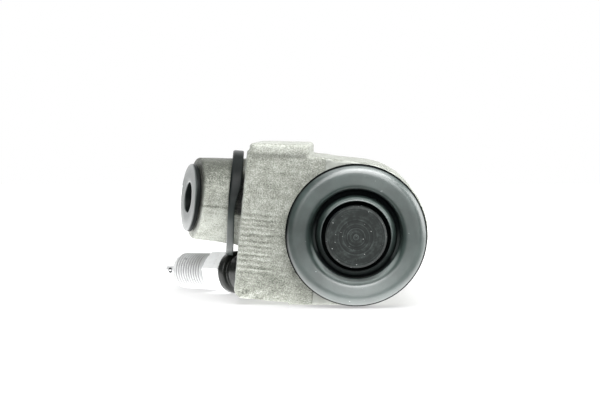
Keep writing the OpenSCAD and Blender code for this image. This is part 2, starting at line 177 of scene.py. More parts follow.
# Lights in the table frame: place, target and size in metres, power in watts
LIGHTS = (
    ("key_light", (0.06, -0.30, 0.42), (0, 0, 0), (0.40, 0.22), 2.7),
    ("front_light", (0.0, -0.48, 0.24), (0, 0, 0), (0.36, 0.34), 2.0),
    ("top_light", (0.0, 0.05, 0.60), (0, 0.05, 0), (0.8, 0.5), 2.4),
    ("right_light", (0.50, -0.12, 0.15), (0, 0, 0.02), (0.5, 0.4), 3.6),
    ("back_light", (0.0, 0.90, 0.45), (0, 0, 0.1), (2.4, 0.9), 12.0),
)
TABLE_SIDE = 3.0
TABLE_BACK = 0.75
CAMERA_AT = (-0.0001, -0.444, 0.02874)
CAMERA_YAW = math.radians(1.92)
CAMERA_PITCH = math.radians(2.747)


def tilt_matrix():
    """Table frame to part frame: turn by -REST_LEAN about Y, then move to the bore axis."""
    return Matrix.Translation((BORE_X * MM, 0, 0)) @ Matrix.Rotation(-REST_LEAN, 4, "Y")


def fade_in(value, start, end):
    """Share that runs from 0 at start to 1 at end in a straight line, and stays there."""
    return np.clip((value - start) / (end - start), 0, 1)


# Mesh building

def add_mesh(name, points, faces, material, body=None, smooth_angle=math.radians(38)):
    """Makes one object from an (n, 3) array in millimetres and an (m, 3 or 4) index array."""
    points = np.asarray(points, np.float64) * MM
    faces = np.asarray(faces, np.int32)
    sides = faces.shape[1]
    mesh = bpy.data.meshes.new(name)
    mesh.vertices.add(len(points))
    mesh.vertices.foreach_set("co", points.astype(np.float32).ravel())
    mesh.loops.add(faces.size)
    mesh.loops.foreach_set("vertex_index", faces.ravel())
    mesh.polygons.add(len(faces))
    mesh.polygons.foreach_set("loop_start", np.arange(0, faces.size, sides, dtype=np.int32))
    mesh.polygons.foreach_set("use_smooth", np.ones(len(faces), bool))
    mesh.update(calc_edges=True)
    mesh.validate()
    mesh.set_sharp_from_angle(angle=smooth_angle)
    mesh.materials.append(material)
    obj = bpy.data.objects.new(name, mesh)
    bpy.context.scene.collection.objects.link(obj)
    if body:
        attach(obj, body)
    return obj


def add_attribute(obj, name, values):
    """Stores one number per vertex for the materials to read."""
    layer = obj.data.attributes.new(name, "FLOAT", "POINT")
    layer.data.foreach_set("value", np.asarray(values, np.float32))


def grid_faces(rows, cols, close_rows=False, close_cols=True, flip=False):
    """Quads of a rows by cols grid of points; a closed direction joins its last line to its first."""
    i = np.arange(rows if close_rows else rows - 1)
    j = np.arange(cols if close_cols else cols - 1)
    i, j = np.meshgrid(i, j, indexing="ij")
    i2, j2 = (i + 1) % rows, (j + 1) % cols
    corners = [i * cols + j, i * cols + j2, i2 * cols + j2, i2 * cols + j]
    quads = np.stack(corners, -1).reshape(-1, 4)
    return quads[:, ::-1] if flip else quads


def revolve(profile, steps):
    """Points (r cos t, r sin t, h) of a profile of (r, h) pairs turned about the third axis."""
    profile = np.asarray(profile, float)
    turn = np.arange(steps) * (2 * math.pi / steps)
    r, h = profile[:, :1], profile[:, 1:2]
    return np.stack([r * np.cos(turn), r * np.sin(turn), h + 0 * turn], -1)


def round_outline(corners, count=5):
    """Rounds a closed outline of (x, y, radius) corners: each becomes an arc touching both sides."""
    corners = np.asarray(corners, float)
    out = []
    for k in range(len(corners)):
        p, r = corners[k, :2], corners[k, 2]
        a, b = corners[k - 1, :2] - p, corners[(k + 1) % len(corners), :2] - p
        a, b = a / np.linalg.norm(a), b / np.linalg.norm(b)
        half = math.acos(float(np.clip(a @ b, -1, 1))) / 2
        if r <= 0 or half > math.radians(89):
            out.append(p[None])
            continue
        reach = r / math.tan(half)
        middle = p + (a + b) / np.linalg.norm(a + b) * r / math.sin(half)
        t = np.linspace(0, 1, count)[:, None]
        first, last = p + a * reach - middle, p + b * reach - middle
        span = math.pi - 2 * half
        bow = (np.sin((1 - t) * span) * first + np.sin(t * span) * last) / math.sin(span)
        out.append(middle + bow)
    return np.concatenate(out)


def fill_outline(outline, gap):
    """Adds evenly spaced points to the stretches of a closed outline that are longer than gap."""
    out = []
    for a, b in zip(outline, np.roll(outline, -1, axis=0)):
        count = max(1, math.ceil(np.linalg.norm(b - a) / gap))
        out.append(a + (b - a) * (np.arange(count) / count)[:, None])
    return np.concatenate(out)


# Materials

class Graph:
    """Node tree of one material, with short calls for the nodes it needs."""

    def __init__(self, name):
        self.material = bpy.data.materials.new(name)
        self.material.use_nodes = True
        self.tree = self.material.node_tree
        self.tree.nodes.clear()
        self.out = self.tree.nodes.new("ShaderNodeOutputMaterial")
        self.bsdf = self.tree.nodes.new("ShaderNodeBsdfPrincipled")
        self.link(self.bsdf.outputs[0], self.out.inputs["Surface"])
        self.coords = self.tree.nodes.new("ShaderNodeTexCoord").outputs["Object"]

    def link(self, source, target):
        self.tree.links.new(source, target)

    def put(self, socket, value):
        if isinstance(value, bpy.types.NodeSocket):
            self.link(value, socket)
        else:
            socket.default_value = value

    def set(self, **values):
        for key, value in values.items():
            self.put(self.bsdf.inputs[key.replace("_", " ")], value)
        return self.material

    def noise(self, scale, detail=3.0, rough=0.55, vector=None):
        node = self.tree.nodes.new("ShaderNodeTexNoise")
        self.put(node.inputs["Vector"], vector or self.coords)
        node.inputs["Scale"].default_value = scale
        node.inputs["Detail"].default_value = detail
        node.inputs["Roughness"].default_value = rough
        return node.outputs["Fac"]

    def stretch(self, scale):
        node = self.tree.nodes.new("ShaderNodeMapping")
        self.put(node.inputs["Vector"], self.coords)
        node.inputs["Scale"].default_value = scale
        return node.outputs[0]

    def math(self, kind, a, b=0.0, clamp=False):
        node = self.tree.nodes.new("ShaderNodeMath")
        node.operation = kind
        node.use_clamp = clamp
        self.put(node.inputs[0], a)
        self.put(node.inputs[1], b)
        return node.outputs[0]

    def weigh(self, *terms):
        """Sum of value times weight over the (value, weight) terms."""
        total = None
        for value, weight in terms:
            part = self.math("MULTIPLY", value, weight)
            total = part if total is None else self.math("ADD", total, part)
        return total

    def length(self, a, b):
        """Square root of a a + b b."""
        return self.math("SQRT", self.weigh((a, a), (b, b)))

    def ramp(self, value, *stops):
        node = self.tree.nodes.new("ShaderNodeValToRGB")
        self.put(node.inputs[0], value)
        while len(node.color_ramp.elements) < len(stops):
            node.color_ramp.elements.new(0.5)
        for element, (place, colour) in zip(node.color_ramp.elements, stops):
            element.position = place
            element.color = (colour, colour, colour, 1) if isinstance(colour, float) else (*colour, 1)
        return node.outputs[0]

    def span(self, value, low, high, to_low=0.0, to_high=1.0):
        node = self.tree.nodes.new("ShaderNodeMapRange")
        self.put(node.inputs["Value"], value)
        for key, number in zip(("From Min", "From Max", "To Min", "To Max"), (low, high, to_low, to_high)):
            node.inputs[key].default_value = number
        return node.outputs[0]

    def mix(self, share, a, b):
        node = self.tree.nodes.new("ShaderNodeMix")
        node.data_type = "RGBA"
        self.put(node.inputs["Factor"], share)
        self.put(node.inputs["A"], a if isinstance(a, bpy.types.NodeSocket) else (*a, 1))
        self.put(node.inputs["B"], b if isinstance(b, bpy.types.NodeSocket) else (*b, 1))
        return node.outputs["Result"]

    def attribute(self, name):
        node = self.tree.nodes.new("ShaderNodeAttribute")
        node.attribute_name = name
        return node.outputs["Fac"]

    def axes(self):
        node = self.tree.nodes.new("ShaderNodeSeparateXYZ")
        self.put(node.inputs[0], self.coords)
        return node.outputs

    def join(self, x, y=0.0, z=0.0):
        node = self.tree.nodes.new("ShaderNodeCombineXYZ")
        for socket, value in zip(node.inputs, (x, y, z)):
            self.put(socket, value)
        return node.outputs[0]

    def bump(self, height, distance, strength=1.0):
        node = self.tree.nodes.new("ShaderNodeBump")
        self.put(node.inputs["Height"], height)
        node.inputs["Distance"].default_value = distance
        self.put(node.inputs["Strength"], strength)
        return node.outputs[0]


def cast_metal():
    """As-cast aluminium: fine sparkling grain, lighter where the pale attribute is above 0 and darker below,
    smoother and more even where the machined attribute is 1. The pale attribute holds painted light and shade
    besides the chipped wear and the ribs."""
    g = Graph("cast_aluminium")
    grain = g.noise(3400.0, 3.0, 0.6)
    blotch = g.noise(330.0, 3.0, 0.6)
    streak = g.noise(420.0, 3.0, 0.6, g.stretch((0.18, 1.0, 2.4)))
    cut = g.attribute("machined")
    tone = g.weigh((grain, 0.62), (blotch, 0.22), (streak, 0.16), (g.attribute("pale"), 0.1))
    cast = g.ramp(
        tone,
        # The black stop is there only for the painted shadow behind the seal ring.
        (0.08, 0.004),
        (0.34, (0.076, 0.082, 0.066)),
        (0.50, (0.245, 0.256, 0.222)),
        (0.66, (0.46, 0.475, 0.435)),
    )
    turned = g.ramp(blotch, (0.3, (0.27, 0.28, 0.255)), (0.7, (0.35, 0.365, 0.335)))
    return g.set(
        Base_Color=g.mix(cut, cast, turned),
        Metallic=0.35,
        Roughness=g.span(cut, 0.0, 1.0, 0.55, 0.42),
        Normal=g.bump(grain, 0.00012, g.span(cut, 0.0, 1.0, 0.8, 0.06)),
    )


def bloomed_rubber_with_painted_light(name):
    """Black rubber with a pale waxy skin, a sheen and specks of dust where its attribute is 1, and plain
    black
    without reflection where it is 0. On the boots and the ring the attribute also carries painted light and
    shade:
    0 stands for shade, and above 1 the rubber turns light grey as painted light."""
    g = Graph(name)
    bloom_and_painted_light = g.attribute("bloom_and_painted_light")
    fine = g.noise(3600.0, 2.0, 0.5)
    wax = g.ramp(g.noise(240.0, 4.0, 0.6), (0.3, (0.020, 0.033, 0.029)), (0.7, (0.046, 0.067, 0.061)))
    wax_and_painted_light = g.mix(g.math("SUBTRACT", bloom_and_painted_light, 1.0, True), wax, (0.48, 0.54, 0.52))
    specks = g.ramp(g.noise(1500.0, 1.0, 0.4), (0.775, 0.0), (0.80, 0.7))
    return g.set(
        Base_Color=g.mix(bloom_and_painted_light, (0.004, 0.005, 0.005), g.mix(specks, wax_and_painted_light, (0.5, 0.53, 0.52))),
        Roughness=g.span(fine, 0.3, 0.7, 0.30, 0.42),
        # Reflection follows the attribute too, so its painted shade also takes away the highlights.
        Specular_IOR_Level=g.math("MULTIPLY", bloom_and_painted_light, 0.8),
        Coat_Weight=g.math("MULTIPLY", bloom_and_painted_light, 0.7),
        Coat_IOR=1.8,
        Coat_Roughness=0.34,
        Normal=g.bump(fine, 0.00002, 0.4),
    )


def rubber(name, colour, roughness, sheen):
    """Moulded rubber: soft highlight, faint blotches of a quarter either way and a very fine skin texture."""
    g = Graph(name)
    blotch = g.noise(240.0, 4.0, 0.6)
    fine = g.noise(3600.0, 2.0, 0.5)
    dark, light = (tuple(c * share for c in colour) for share in (0.75, 1.25))
    return g.set(
        Base_Color=g.ramp(blotch, (0.3, dark), (0.7, light)),
        Roughness=g.span(fine, 0.3, 0.7, roughness - 0.05, roughness + 0.08),
        Specular_IOR_Level=sheen,
        Normal=g.bump(fine, 0.00002, 0.4),
    )


def turned_alloy():
    """Dark anodised alloy: rings of tool marks about the bore axis, with a scatter of pale dust."""
    g = Graph("piston_alloy")
    x, _, z = g.axes()
    radius = g.length(g.math("SUBTRACT", x, BORE_X * MM), z)
    marks = g.noise(1.0, 2.0, 0.7, g.join(g.math("MULTIPLY", radius, 2600.0)))
    bands = g.noise(1.0, 1.0, 0.5, g.join(g.math("MULTIPLY", radius, 700.0)))
    dust = g.ramp(g.noise(1900.0, 1.0, 0.4), (0.74, 0.0), (0.77, 1.0))
    faint = g.math("MULTIPLY", g.math("SUBTRACT", marks, 0.5), g.span(radius, 0.001, 0.006, 0.6, 0.25))
    tone = g.math("ADD", faint, g.span(g.noise(620.0, 5.0, 0.65), 0.0, 1.0, 0.37, 0.63))
    worn = g.ramp(
        tone,
        (0.37, (0.003, 0.004, 0.004)),
        (0.50, (0.012, 0.015, 0.014)),
        (0.63, (0.065, 0.078, 0.074)),
    )
    return g.set(
        Base_Color=g.mix(g.math("MULTIPLY", dust, 0.75), worn, (0.62, 0.64, 0.63)),
        Metallic=0.2,
        Roughness=0.5,
        Specular_IOR_Level=0.3,
        Normal=g.bump(g.weigh((marks, 0.6), (bands, 0.6)), 0.00008, 0.5),
    )


def plated_steel(name, colour, roughness):
    """Bright plated steel with a slight cloudiness, darker where its shading attribute is above 0, which on
    the screw is painted shade in the thread roots over an even darkening off the hexagon.
    """
    g = Graph(name)
    cloud = g.noise(700.0, 3.0, 0.6)
    plate = g.ramp(cloud, (0.3, tuple(c * 0.9 for c in colour)), (0.7, colour))
    return g.set(
        Base_Color=g.mix(g.attribute("valley"), plate, tuple(c * 0.1 for c in colour)),
        Metallic=0.3,
        Roughness=g.span(cloud, 0.3, 0.7, roughness - 0.06, roughness + 0.08),
    )


def painted_hole_shadow():
    """Painted shadow of the cross hole: black with a faint scuff, on a shallow cup laid over the seat where
    no hole is cut.
    """
    g = Graph("painted_hole_shadow")
    scuff = g.noise(900.0, 5.0, 0.65)
    return g.set(
        Base_Color=g.ramp(scuff, (0.35, 0.004), (0.8, 0.0068)),
        Roughness=g.span(scuff, 0.3, 0.7, 0.74, 0.9),
        Normal=g.bump(scuff, 0.00005, 0.4),
    )


def table_white():
    """White table. The camera sees it glow more with depth and away from the part, so that it stays white,
    and other rays see a glow under and behind the part that stands for light thrown back by the table."""
    g = Graph("table_white")
    seen = g.tree.nodes.new("ShaderNodeLightPath").outputs["Is Camera Ray"]
    beside, depth, _ = g.axes()
    away = g.length(beside, depth)
    white = g.math("ADD", g.span(depth, -0.06, 0.05, 0.36, 0.62), g.span(away, 0.14, 0.30, 0.0, 1.0))
    glow = g.span(depth, -0.046, -0.034, 0.06, 2.4)
    return g.set(
        Base_Color=(0.35, 0.35, 0.35, 1),
        Roughness=0.8,
        Specular_IOR_Level=0.0,
        Emission_Color=(1, 1, 1, 1),
        Emission_Strength=g.weigh((white, seen), (glow, g.math("SUBTRACT", 1.0, seen))),
    )


# Casting as a signed distance field

def soft_min(a, b, k):
    """min(a, b) with a fillet of about k: the polynomial blend b + h (a - b) - k h (1 - h)."""
    h = np.clip(0.5 + 0.5 * (b - a) / k, 0, 1)
    return b + h * (a - b) - k * h * (1 - h)


def soft_max(a, b, k):
    """max(a, b) with a rounded edge of about k."""
    return -soft_min(-a, -b, k)


def round_box(x, y, z, low, high, r):
    """Distance to a box with every edge rounded by r."""
    q = [np.abs(v - (a + b) / 2) - (b - a) / 2 + r for v, a, b in zip((x, y, z), low, high)]
    outside = np.sqrt(sum(np.maximum(v, 0) ** 2 for v in q))
    return outside + np.minimum(np.maximum(np.maximum(q[0], q[1]), q[2]), 0) - r


def rod(ax, ay, along, r, low, high, edge=0.0):
    """Distance to a round bar about an axis: radius r, from low to high, edges rounded by edge."""
    side = np.sqrt(ax * ax + ay * ay) - r + edge
    ends = np.abs(along - (low + high) / 2) - (high - low) / 2 + edge
    outside = np.sqrt(np.maximum(side, 0) ** 2 + np.maximum(ends, 0) ** 2)
    return outside + np.minimum(np.maximum(side, ends), 0) - edge


def tangent(px, pz, side):
    """Unit normal of the line through (px, pz) that touches the barrel."""
    ax, az = px - BORE_X, pz
    swing = math.atan2(az, ax) + side * math.acos(BARREL_R / math.hypot(ax, az))
    return math.cos(swing), math.sin(swing)


def boss_axes(x, y, z):
    """Distance along the slanted boss axis, and the two offsets across it."""
    c, s = math.cos(BOSS_SLANT), math.sin(BOSS_SLANT)
    return -x * c - y * s, -x * s + y * c, z - BOSS_RISE


def body_field(x, y, z):
    """Distance to the block with its foot corner, the barrel and the webs that touch the barrel."""
    u = x - BORE_X
    block = round_box(
        x, y, z, (0, -BLOCK_HALF, -FOOT_DROP), (BLOCK_DEPTH, BLOCK_HALF, BLOCK_RISE), BLOCK_EDGE
    )
    corner = round_box(x, 0 * y, z, (0, -BEYOND, -FOOT_DROP), (BEYOND, BEYOND, BEYOND), FOOT_ROUND)
    block = np.maximum(block, corner)
    nx, nz = tangent(BLOCK_DEPTH, -FOOT_DROP, 1)
    tx, tz = tangent(PAD_REACH, BLOCK_RISE, -1)
    web = np.maximum(u * nx + z * nz, u * tx + z * tz) - BARREL_R
    web = np.maximum(web, np.maximum(WEB_START - x, x - BORE_X))
    web = soft_max(web, np.abs(y) - HALF_LEN, SMALL_EDGE)
    barrel = rod(u, z, y, BARREL_R, -HALF_LEN, HALF_LEN, 0.35)
    return soft_min(np.minimum(web, barrel), block, SMALL_EDGE)


def pad_field(x, y, z):
    """Distance to the raised pad, a rounded bar turned by PAD_SLOPE about its top edge."""
    px, pz = x - PAD_START, z - PAD_TOP
    rise = -px * math.sin(PAD_SLOPE) + pz * math.cos(PAD_SLOPE)
    run = px * math.cos(PAD_SLOPE) + pz * math.sin(PAD_SLOPE)
    return round_box(run, y, rise, (0, -PAD_HALF, -PAD_THICK), (PAD_RUN, PAD_HALF, 0), PAD_ROUND)


def boss_field(x, y, z):
    """Distance to the slanted tapering boss with the collar at its root."""
    t, across, up = boss_axes(x, y, z)
    cone = np.sqrt(across * across + up * up) - (BOSS_ROOT_R - BOSS_TAPER * np.maximum(t, 0))
    boss = soft_max(soft_max(cone, t - BOSS_LEN, SMALL_EDGE), -BOSS_SUNK - t, SMALL_EDGE)
    collar = rod(y, z - BOSS_RISE, x, COLLAR_R, *COLLAR_ENDS, SMALL_EDGE)
    return soft_min(boss, collar, COLLAR_FILLET)


def casting(x, y, z):
    """Signed distance of the casting in millimetres: body, pad and boss joined by fillets and made slightly
    uneven, then the turned spigots, less the recess, the bore, the inlet and the holes."""
    u, w = x - BORE_X, np.abs(y)
    solid = soft_min(body_field(x, y, z), pad_field(x, y, z), PAD_FILLET)
    solid = soft_min(solid, boss_field(x, y, z), BOSS_FILLET)
    ripple = np.sin(0.9 * x + 0.5 * z) * np.sin(0.7 * y - 0.6 * z + 0.4)
    ripple = ripple + np.sin(1.7 * z - 0.8 * x + 1.3 * y)
    solid = solid + CAST_WAVE * (ripple + 2)
    spigot = rod(u, z, y, SPIGOT_R, -SPIGOT_END, SPIGOT_END, SPIGOT_EDGE)
    spigot = np.maximum(spigot, -rod(u, z, w, 2 * SPIGOT_R, *GROOVE_ENDS))
    neck = rod(u, z, y, GROOVE_R, -SPIGOT_END, SPIGOT_END)
    solid = np.minimum(solid, np.minimum(spigot, neck))
    recess = round_box(
        x, y, z, (-BEYOND, -RECESS_HALF, -BEYOND), (RECESS_DEPTH, RECESS_HALF, RECESS_ROOF), RECESS_ROUND
    )
    solid = soft_max(solid, -recess, RECESS_EDGE)
    solid = np.maximum(solid, -rod(u, z, y, BORE_R, -BEYOND, BEYOND))
    t, across, up = boss_axes(x, y, z)
    reach = np.sqrt(across * across + up * up) - INLET_R
    inlet = np.minimum(reach, reach - (t - BOSS_LEN + INLET_CHAMFER))
    solid = np.maximum(solid, -np.maximum(inlet, INLET_FOOT - t))
    for hole_y, hole_z, radius, depth in HOLES:
        side = np.sqrt((y - hole_y) ** 2 + (z - hole_z) ** 2) - radius
        mouth = np.maximum(side - HOLE_CHAMFER + x, -0.1 - x)
        solid = np.maximum(solid, -np.maximum(np.minimum(side, mouth), x - depth))
    return solid


def surface_net(field, low, high, step):
    """Zero surface of field by naive surface nets: one vertex per crossed cell, at the mean of its edge
    crossings, then three Newton steps p - f grad f / |grad f|^2 onto the exact surface."""
    counts = [int(math.ceil((b - a) / step)) + 1 for a, b in zip(low, high)]
    lines = [a + step * np.arange(n) for a, n in zip(low, counts)]
    x, y, z = np.meshgrid(*lines, indexing="ij", sparse=True)
    one = np.ones(counts, np.float32)
    value = field(x * one, y * one, z * one).astype(np.float32)
    inside = value < 0
    cells = [n - 1 for n in counts]
    total, weight = np.zeros(cells + [3], np.float32), np.zeros(cells, np.float32)
    for axis in range(3):
        for da in (0, 1):
            for db in (0, 1):
                shift = [0, 0, 0]
                others = [k for k in range(3) if k != axis]
                shift[others[0]], shift[others[1]] = da, db
                near = tuple(slice(s, s + n) for s, n in zip(shift, cells))
                shift[axis] = 1
                far = tuple(slice(s, s + n) for s, n in zip(shift, cells))
                crossed = inside[near] != inside[far]
                change = np.where(crossed, value[near] - value[far], 1)
                place = np.zeros(cells + [3], np.float32)
                place[..., others[0]], place[..., others[1]] = da, db
                place[..., axis] = np.where(crossed, value[near] / change, 0)
                total += place * crossed[..., None]
                weight += crossed
    used = weight > 0
    index = np.full(cells, -1, np.int32)
    index[used] = np.arange(used.sum(), dtype=np.int32)
    points = (np.argwhere(used) + total[used] / weight[used][:, None]) * step + np.asarray(low)
    quads = []
    for axis in range(3):
        others = [k for k in range(3) if k != axis]
        first = [slice(1, -1)] * 3
        first[axis] = slice(0, -1)
        second = [slice(1, -1)] * 3
        second[axis] = slice(1, None)
        enters = inside[tuple(first)] & ~inside[tuple(second)]
        leaves = ~inside[tuple(first)] & inside[tuple(second)]
        for mask, flip in ((enters, axis == 1), (leaves, axis != 1)):
            at = np.argwhere(mask)
            at[:, others] += 1
            ring = []
            for da, db in ((0, 0), (1, 0), (1, 1), (0, 1)):
                cell = at.copy()
                cell[:, others[0]] -= da
                cell[:, others[1]] -= db
                ring.append(index[cell[:, 0], cell[:, 1], cell[:, 2]])
            ring = np.stack(ring, -1)
            quads.append(ring[:, ::-1] if flip else ring)
    quads = np.concatenate(quads)
    quads = quads[(quads >= 0).all(1)]
    for _ in range(3):
        px, py, pz = points.T
        here, d = field(px, py, pz), 0.02
        slope = np.stack([
            field(px + d, py, pz) - field(px - d, py, pz),
            field(px, py + d, pz) - field(px, py - d, pz),
            field(px, py, pz + d) - field(px, py, pz - d),
        ], -1) / (2 * d)
        move = here[:, None] * slope / np.maximum((slope ** 2).sum(1), 0.3)[:, None]
        points = points - np.clip(move, -0.5 * step, 0.5 * step)
    return points, quads


def machined_share(x, y, z):
    """1 on the cut surfaces, which are the barrel ends, mounting face, bore and inlet; 0 on cast skin."""
    t, across, up = boss_axes(x, y, z)
    ends = fade_in(np.abs(y), HALF_LEN - 0.15, HALF_LEN - 0.05) * (x > BLOCK_DEPTH + 0.1)
    face = fade_in(x, 0.25, 0.15) * (x > -0.5)
    bore = np.hypot(x - BORE_X, z) < BORE_R + 0.3
    port = (np.hypot(across, up) < 6.6) & (t > 0)
    return np.maximum(np.maximum(ends, face), (bore | port).astype(float))


def cast_tone(x, y, z):
    """Lightness of the cast skin, 0 where it is plain: the mounting-face edge and the bottom edge carry a
    painted highlight, the pad top is paler with painted light, the foot is chipped, the boss has painted
    shade above its parting line and painted light below it, the parting line is darker, the near leg is
    ribbed, the lower block has painted shade, and the gap behind the ring has a painted black shadow."""
    up = boss_axes(x, y, z)[2]
    on_block = x > -0.5
    # Painted highlight along the edge by the mounting face and along the bottom edge.
    edge_highlight = fade_in(x, 1.6, 0.0) * on_block + fade_in(z, -16.2, -18.2)
    chips = np.sin(2.7 * x + 2.1 * np.sin(1.9 * z + 0.7 * x))
    chips = chips * np.sin(3.1 * z + 1.9 * np.sin(1.3 * x - 0.8 * y))
    chips = chips + 0.6 * np.sin(1.1 * x - 2.0 * z + 0.9 * y) + 0.1
    worn = fade_in(z, -14.5, -17.5) * fade_in(x, 13, 7) * on_block
    # Painted light: the top of the pad is paler.
    pad = fade_in(z, BLOCK_RISE - 0.6, BLOCK_RISE + 0.2) * (x < PAD_REACH + 0.5)
    # Painted shade on the boss growing upward above its parting line, painted light below it.
    above = np.clip(0.28 - 0.22 * up, -1.7, 0.3)
    below = np.interp(up, [-10.5, -8.5, -6], [0.2, 0.5, 0.95])
    boss = fade_in(x, -1.4, -2.0) * np.where(up > PARTING, above, below)
    seam = fade_in(np.abs(up - PARTING), 0.4, 0.0) * (x < -1.6)
    # Painted black shadow in the gap between the seal ring and the block, on the near side.
    slot = fade_in(up, -3.2, -2.4) * fade_in(up, 8.5, 6.5) * (y < 0)
    slot = slot * fade_in(x, -3.2, -2.7) * fade_in(x, -0.05, -0.35)
    rib = np.sin(2 * math.pi * z / 1.33 + 0.8 * np.sin(0.9 * z) + 0.25 * np.sin(1.3 * x))
    rib = rib * fade_in(z, 4, 2) * fade_in(z, -14, -12) * fade_in(x, 11, 7)
    rib = rib * (y < -BLOCK_HALF + 0.5) * (x > 0)
    shade = fade_in(z, -6, -14) * (x > 0)
    lighter = 0.35 * np.minimum(edge_highlight, 1) + 0.8 * worn * chips + 0.5 * pad + boss + 0.8 * rib
    return lighter - 1.2 * seam - 4.2 * slot - 0.35 * shade


# Operators

class CylinderSettings(bpy.types.PropertyGroup):
    """Numbers that the operators read."""

    net_step: bpy.props.FloatProperty(name="Casting mesh step (mm)", default=0.45, min=0.3, max=1.5)
    turn_steps: bpy.props.IntProperty(name="Steps per turn", default=160, min=32, max=256)
    thread_pitch: bpy.props.FloatProperty(name="Thread pitch (mm)", default=1.0, min=0.5, max=2.0)


class CYL_OT_casting(bpy.types.Operator):
    """Build the skin of the casting from its distance field"""

    bl_idname = "cyl.casting"
    bl_label = "Casting"

    def execute(self, context):
        step = context.scene.cylinder.net_step
        low, high = (-20.0, -27.4, -20.0), (48.4, 27.4, 22.4)
        points, quads = surface_net(casting, low, high, step)
        obj = add_mesh("cast_skin", points, quads, cast_metal(), "cylinder", math.radians(50))
        add_attribute(obj, "machined", machined_share(*points.T))
        add_attribute(obj, "pale", cast_tone(*points.T))
        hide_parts("cylinder_body")
        return {"FINISHED"}


def boot_sections():
    """Closed (r, h) outlines of a boot: the wall and rim bead, and the lip with the bead that grips the nose."""
    f, seat = BOOT_FACE, BOOT_SEAT
    wall = round_outline([
        (BOOT_R, seat, 0.3), (BOOT_R, f + 0.34, 2.3), (11.96, f - 0.47, 1.6), (11.01, f - 3.4, 0.5),
        (9.9, f - 3.4, 0.1), (8.9, f - 3.2, 0.1), (8.7, f - 4.2, 0.5), (9.6, f - 4.8, 0.6),
        (11.4, f - 4.8, 0.9), (12.6, f - 3.4, 0.5), (13.1, f - 1.82, 0.2), (16.2, f - 1.4, 0.6),
        (16.25, seat, 0.3),
    ], 11)
    rim = round_outline([
        (14.95, seat, 0.3), (17.3, seat, 0.3), (17.3, seat + 1.85, 0.1), (14.95, seat + 1.85, 0.3),
    ])
    lip = round_outline([
        (10.55, f - 4.0, 0.1), (9.0, f - 0.2, 0.14), (8.63, f - 0.2, 0.14), (8.63, f - 3.7, 0.1),
        (6.95, f - 3.7, 0.4), (6.95, f - 5.1, 0.4), (8.9, f - 5.1, 0.3), (9.7, f - 4.6, 0.3),
    ], 7)
    return (fill_outline(wall, 0.5), rim), (fill_outline(lip, 0.4),)


def bloom_and_painted_light_at(outline, steps, piece):
    """Share of pale wax on a turned boot section, laid on as painted light and shade: none in the gap, in the
    valley under the top and at the outermost edge, where it stands for shadow, and most where the rubber
    faces up, on the top of the lip and the lower side of the valley, and more at top and bottom than at the
    sides, as painted light."""
    r, drop = outline[:, :1], BOOT_FACE - outline[:, 1:]
    turn = np.arange(steps) * (2 * math.pi / steps)
    lift, right = np.sin(turn), np.cos(turn)
    if piece == "lip":
        # Lip: painted light on top, the painted shadow of the nose below, none down in the gap and on the
        # inner face (painted shade).
        share = np.maximum(fade_in(lift, -0.6, 0.6), 0.1) * (1.09 + 0.16 * fade_in(drop, 0.25, 0.65))
        return fade_in(drop, 2.9, 1.3) * fade_in(r, 8.66, 8.76) * share
    # Painted light by side: most at top and bottom, least on the left, a little more on the right.
    even = 0.66 + 0.36 * np.maximum(-lift, 0) + 0.38 * np.maximum(lift, 0) + 0.08 * right
    edge = 0.85 + 0.2 * np.abs(lift) + 0.25 * np.maximum(right, 0)
    # Outer wall: nothing over the last stretch toward the rim, a painted black shadow line round the boot.
    outside = fade_in(drop, edge, edge - 0.15) * even
    # Painted light on the lower side of the valley, which faces up; it lifts the share above 1.
    painted_low_light = np.interp(drop, [0.3, 0.7, 1.2, 2.0], [0, 0.15, 0.85, 1.6])
    painted_low_light = painted_low_light * np.clip(-1.3 * lift - 0.1, 0, 1)
    # Inner part: nothing deeper than foot, which is shallowest at the top, as painted shade in the valley and
    # gap.
    heights = [-1, -0.5, 0, 0.7, 1]
    foot = np.interp(lift, heights, [3.4, 3.4, 3.8, 2.5, 2.0])
    fade = np.interp(lift, heights, [0.4, 0.5, 2.0, 1.3, 1.3])
    inside = fade_in(drop, foot, foot - fade) * (even + painted_low_light)
    return np.where(r > 15, outside, inside)


class CYL_OT_boots(bpy.types.Operator):
    """Build both dust boots as turned rubber walls, with lips attached to the piston bodies"""

    bl_idname = "cyl.boots"
    bl_label = "Dust boots"

    def execute(self, context):
        steps = context.scene.cylinder.turn_steps
        skin = bloomed_rubber_with_painted_light("boot_rubber")
        stretched, held = boot_sections()
        for name, side in (("near", -1), ("far", 1)):
            for piece, outlines in (("wall", stretched), ("lip", held)):
                points, faces, bloom_and_painted_light, count = [], [], [], 0
                for outline in outlines:
                    bloom_and_painted_light.append(bloom_and_painted_light_at(outline, steps, piece).ravel())
                    ring = revolve(outline, steps).reshape(-1, 3)
                    quads = grid_faces(len(outline), steps, close_rows=True, flip=side > 0)
                    points.append(np.stack([ring[:, 0] + BORE_X, side * ring[:, 2], ring[:, 1]], -1))
                    faces.append(quads + count)
                    count += len(ring)
                points, faces = np.concatenate(points), np.concatenate(faces)
                obj = add_mesh(f"{name}_boot_{piece}", points, faces, skin)
                add_attribute(obj, "bloom_and_painted_light", np.concatenate(bloom_and_painted_light))
                if piece == "lip":
                    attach(obj, f"{name}_piston")
                    continue
                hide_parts(f"{name}_boot")
                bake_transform(obj)
        return {"FINISHED"}


def paint(node, material):
    """Gives a CAD node one material."""
    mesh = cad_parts[node].data
    mesh.materials.clear()
    mesh.materials.append(material)


